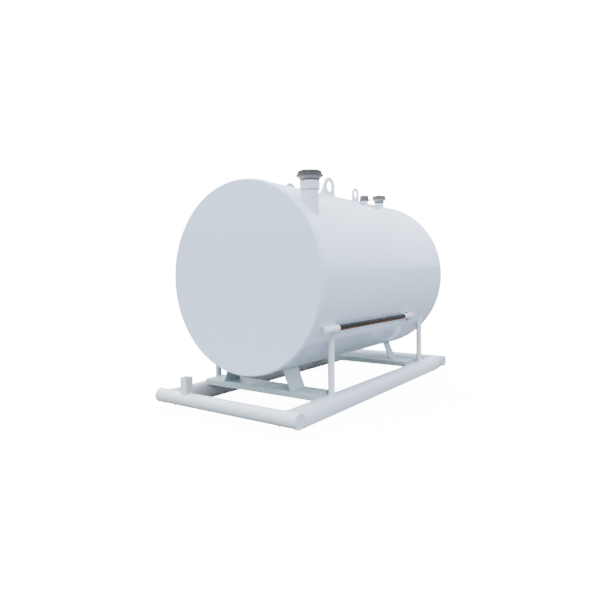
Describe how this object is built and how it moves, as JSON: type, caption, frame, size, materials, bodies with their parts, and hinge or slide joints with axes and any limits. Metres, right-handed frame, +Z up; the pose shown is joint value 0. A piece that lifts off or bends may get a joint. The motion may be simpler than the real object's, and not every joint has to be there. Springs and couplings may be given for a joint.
{
  "type": "utility fuel tank",
  "caption": "White horizontal steel fuel tank with flat ends on a pipe skid, with a capped fill pipe, vents, lifting lugs and a rusty bar along one side.",
  "frame": {"origin": "on the ground under the middle of the tank", "axes": "+Y along the tank from its front end to its rear end, +X to the side with the bar, +Z up"},
  "size_m": [1.219, 2.2716, 1.5534],
  "materials": {
    "tank_paint": "satin white paint",
    "skid_paint": "worn white paint",
    "dark_cap": "satin dark grey",
    "rusty_bar": "rusted bare steel"
  },
  "bodies": {
    "root": {"tank_shell": "tank_paint", "front_head": "tank_paint", "rear_head": "tank_paint", "front_end_pipe": "skid_paint", "rear_end_pipe": "skid_paint", "front_left_end_plate": "skid_paint", "front_right_end_plate": "skid_paint", "rear_left_end_plate": "skid_paint", "rear_right_end_plate": "skid_paint", "left_rail": "skid_paint", "right_rail": "skid_paint", "front_left_nose": "skid_paint", "front_right_nose": "skid_paint", "rear_left_nose": "skid_paint", "rear_right_nose": "skid_paint", "front_channel": "skid_paint", "rear_channel": "skid_paint", "front_left_leg": "skid_paint", "front_right_leg": "skid_paint", "rear_left_leg": "skid_paint", "rear_right_leg": "skid_paint", "front_left_post": "skid_paint", "front_right_post": "skid_paint", "rear_left_post": "skid_paint", "rear_right_post": "skid_paint", "front_sleeve": "skid_paint", "rear_sleeve": "skid_paint", "tow_socket": "skid_paint", "fill_pipe": "skid_paint", "fill_collar": "skid_paint", "vent_neck": "skid_paint", "gauge_neck": "skid_paint", "front_left_lug": "skid_paint", "front_right_lug": "skid_paint", "rear_left_lug": "skid_paint", "rear_right_lug": "skid_paint", "fill_cap": "dark_cap", "vent_cap": "dark_cap", "gauge_cap": "dark_cap", "side_bar": "rusty_bar"}
  },
  "joints": []
}
